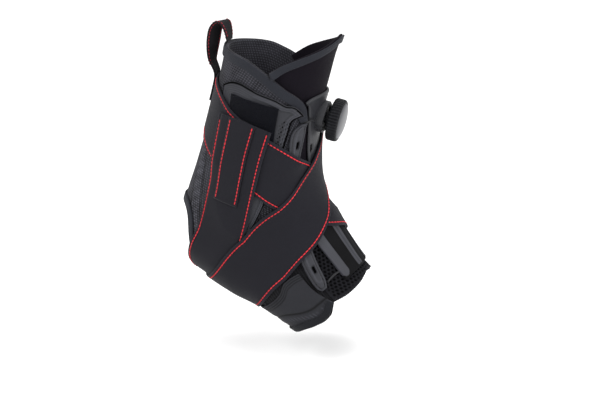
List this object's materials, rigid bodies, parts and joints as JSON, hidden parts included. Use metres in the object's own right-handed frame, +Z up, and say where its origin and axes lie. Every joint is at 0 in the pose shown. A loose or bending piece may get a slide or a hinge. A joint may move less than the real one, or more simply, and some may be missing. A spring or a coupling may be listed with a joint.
{
  "type": "ankle brace",
  "caption": "Laced ankle brace in its worn form: padded knit boot with open heel, flared tongue, dial lacing, crossed wrap straps with red stitches and a pull loop.",
  "frame": {"origin": "centre of the wearer's ankle joint, which the brace is fitted round", "axes": "+X to the toes, +Z up the leg with the heel a little raised, -Y is the outer side of a right foot"},
  "size_m": [0.164, 0.11, 0.2613],
  "materials": {
    "mesh_cloth": "open spacer mesh, dull",
    "binding_tape": "dull woven edge tape",
    "boot_knit": "padded knit, dull",
    "smooth_cloth": "smooth stretch cloth, dull",
    "moulded_shell": "moulded rubbery plastic, satin",
    "loop_pile": "near-black looped pile",
    "dial_plastic": "satin",
    "knob_plastic": "satin, knurled rim",
    "cap_plastic": "semi-gloss",
    "lace_cord": "braided, dull",
    "strap_cloth": "brushed stretch cloth with red edge stitches",
    "tab_cloth": "brushed cloth with red stitches",
    "loop_ribbon": "woven ribbon with dark red edge stitches"
  },
  "bodies": {
    "brace": {"tongue": "mesh_cloth", "tongue_binding": "binding_tape", "boot_body": "boot_knit", "heel_binding": "binding_tape", "quarter_binding": "binding_tape", "foot_wrap": "smooth_cloth", "foot_binding": "binding_tape", "ankle_shell_outer": "moulded_shell", "ankle_shell_inner": "moulded_shell", "pile_patch_outer": "loop_pile", "pile_patch_inner": "loop_pile", "instep_stiffener": "moulded_shell", "upper_guide_outer": "moulded_shell", "upper_guide_inner": "moulded_shell", "lower_guide_outer": "moulded_shell", "lower_guide_inner": "moulded_shell", "dial_plate": "dial_plastic", "upper_lace_outer": "lace_cord", "upper_lace_inner": "lace_cord", "lower_lace_outer": "lace_cord", "lower_lace_inner": "lace_cord", "under_strap": "strap_cloth", "over_strap": "strap_cloth", "under_strap_tab": "tab_cloth", "over_strap_tab": "tab_cloth", "pull_loop": "loop_ribbon"},
    "dial_slider": {"dial_stem": "dial_plastic"},
    "knob": {"dial_knob": "knob_plastic", "dial_cap": "cap_plastic"}
  },
  "joints": [
    {"name": "dial_pull", "type": "slide", "parent": "brace", "child": "dial_slider", "axis": [0.9782, 0, -0.2078], "range_m": [-0.0025, 0]},
    {"name": "dial_turn", "type": "hinge", "parent": "dial_slider", "child": "knob", "pos_m": [0.04643, 0, 0.0741], "axis": [0.9782, 0, -0.2078], "continuous": true}
  ]
}
